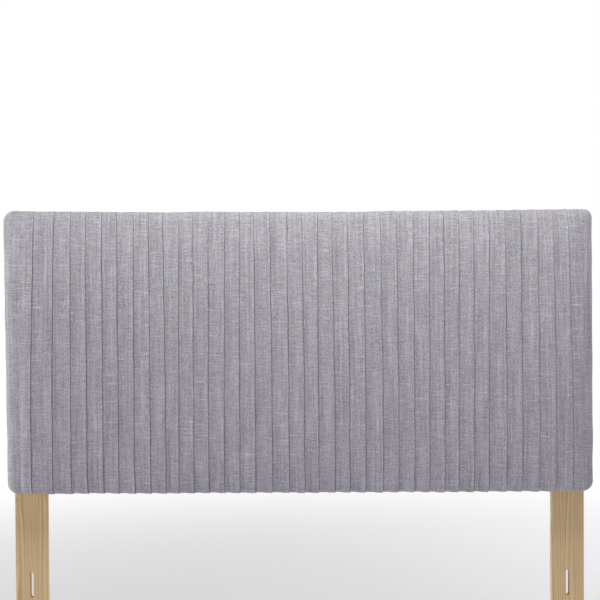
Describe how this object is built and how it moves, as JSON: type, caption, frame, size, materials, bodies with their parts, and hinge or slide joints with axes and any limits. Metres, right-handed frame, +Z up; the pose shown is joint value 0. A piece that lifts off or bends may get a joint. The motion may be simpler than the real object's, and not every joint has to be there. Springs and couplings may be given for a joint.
{
  "type": "headboard",
  "caption": "Upholstered queen-size headboard with vertical knife pleats in grey linen-look cloth, on two bolt-on pine legs slotted for a bed frame.",
  "frame": {"origin": "on the floor, under the middle of the headboard's overall box", "axes": "+X to the viewer's right, -Y the way the pleated face looks, +Z up"},
  "size_m": [1.575, 0.1016, 1.295],
  "materials": {
    "linen_cloth": "matte",
    "black_nonwoven": "matte",
    "foam": "matte",
    "wadding": "matte",
    "pine": "matte",
    "pine_leg": "satin",
    "plywood": "matte",
    "zinc_steel": "satin",
    "staple_steel": "satin"
  },
  "bodies": {
    "root": {"top_rail": "pine", "bottom_rail": "pine", "left_stile": "pine", "right_stile": "pine", "left_stud": "pine", "right_stud": "pine", "top_left_corner_block": "pine", "top_right_corner_block": "pine", "bottom_left_corner_block": "pine", "bottom_right_corner_block": "pine", "face_board": "plywood", "face_board_staples": "staple_steel", "foam_pad": "foam", "wadding_wrap": "wadding", "pleated_face": "linen_cloth", "side_borders": "linen_cloth", "fabric_staples": "staple_steel", "dust_cover": "black_nonwoven", "dust_cover_staples": "staple_steel", "left_leg": "pine_leg", "right_leg": "pine_leg", "leg_bolts": "zinc_steel", "t_nuts": "zinc_steel"}
  },
  "joints": []
}
